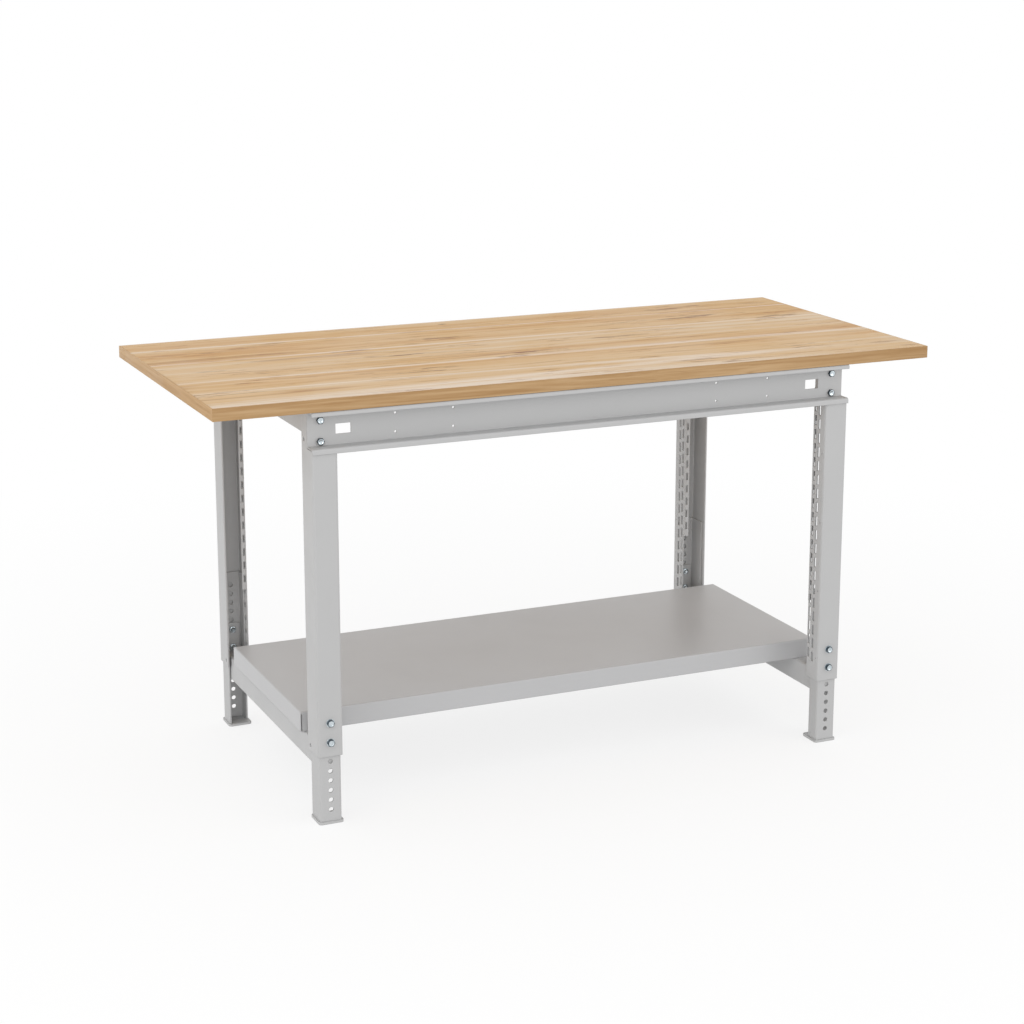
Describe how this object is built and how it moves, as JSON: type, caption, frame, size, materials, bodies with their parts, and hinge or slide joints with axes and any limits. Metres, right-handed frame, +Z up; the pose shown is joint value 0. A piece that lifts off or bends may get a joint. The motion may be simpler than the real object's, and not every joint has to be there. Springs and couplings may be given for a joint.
{
  "type": "assembly table",
  "caption": "Rectangular workshop table with a wood-decor board, folded steel frame, slotted channel legs that telescope for height, and a low tray shelf.",
  "frame": {"origin": "on the floor below the middle of the worktop", "axes": "+X along the table, +Z up, the user at -Y"},
  "size_m": [1.56, 0.6954, 0.852],
  "materials": {
    "oak_board": "matt oak decor in staves along the length",
    "oak_band": "matt oak edge band with the grain along the edge",
    "grey_paint": "light grey fine-texture powder coat",
    "shelf_paint": "light grey powder coat, slightly smoother",
    "zinc": "bright zinc plating"
  },
  "bodies": {
    "frame": {"worktop": "oak_board", "edge_band_front": "oak_band", "edge_band_rear": "oak_band", "edge_band_left": "oak_band", "edge_band_right": "oak_band", "upper_leg_front_left": "grey_paint", "upper_leg_front_right": "grey_paint", "upper_leg_rear_left": "grey_paint", "upper_leg_rear_right": "grey_paint", "top_rail_left": "grey_paint", "top_rail_right": "grey_paint", "lower_rail_left": "grey_paint", "lower_rail_right": "grey_paint", "beam_front": "grey_paint", "beam_rear": "grey_paint", "shelf": "shelf_paint", "leg_low_bolt_front_left": "zinc", "leg_low_nut_front_left": "zinc", "leg_high_bolt_front_left": "zinc", "leg_high_nut_front_left": "zinc", "beam_high_bolt_front_left": "zinc", "beam_high_nut_front_left": "zinc", "beam_low_bolt_front_left": "zinc", "beam_low_nut_front_left": "zinc", "leg_low_bolt_front_right": "zinc", "leg_low_nut_front_right": "zinc", "leg_high_bolt_front_right": "zinc", "leg_high_nut_front_right": "zinc", "beam_high_bolt_front_right": "zinc", "beam_high_nut_front_right": "zinc", "beam_low_bolt_front_right": "zinc", "beam_low_nut_front_right": "zinc", "leg_low_bolt_rear_left": "zinc", "leg_low_nut_rear_left": "zinc", "leg_high_bolt_rear_left": "zinc", "leg_high_nut_rear_left": "zinc", "beam_high_bolt_rear_left": "zinc", "beam_high_nut_rear_left": "zinc", "beam_low_bolt_rear_left": "zinc", "beam_low_nut_rear_left": "zinc", "leg_low_bolt_rear_right": "zinc", "leg_low_nut_rear_right": "zinc", "leg_high_bolt_rear_right": "zinc", "leg_high_nut_rear_right": "zinc", "beam_high_bolt_rear_right": "zinc", "beam_high_nut_rear_right": "zinc", "beam_low_bolt_rear_right": "zinc", "beam_low_nut_rear_right": "zinc", "worktop_screw_front_left": "zinc", "worktop_screw_front_right": "zinc", "worktop_screw_rear_left": "zinc", "worktop_screw_rear_right": "zinc"},
    "leg_front_left": {"inner_leg_front_left": "grey_paint", "foot_plate_front_left": "grey_paint"},
    "leg_front_right": {"inner_leg_front_right": "grey_paint", "foot_plate_front_right": "grey_paint"},
    "leg_rear_left": {"inner_leg_rear_left": "grey_paint", "foot_plate_rear_left": "grey_paint"},
    "leg_rear_right": {"inner_leg_rear_right": "grey_paint", "foot_plate_rear_right": "grey_paint"}
  },
  "joints": [
    {"name": "leg_front_left_height", "type": "slide", "parent": "frame", "child": "leg_front_left", "axis": [0, 0, 1], "range_m": [-0.14, 0.1]},
    {"name": "leg_front_right_height", "type": "slide", "parent": "frame", "child": "leg_front_right", "axis": [0, 0, 1], "range_m": [-0.14, 0.1]},
    {"name": "leg_rear_left_height", "type": "slide", "parent": "frame", "child": "leg_rear_left", "axis": [0, 0, 1], "range_m": [-0.14, 0.1]},
    {"name": "leg_rear_right_height", "type": "slide", "parent": "frame", "child": "leg_rear_right", "axis": [0, 0, 1], "range_m": [-0.14, 0.1]}
  ]
}
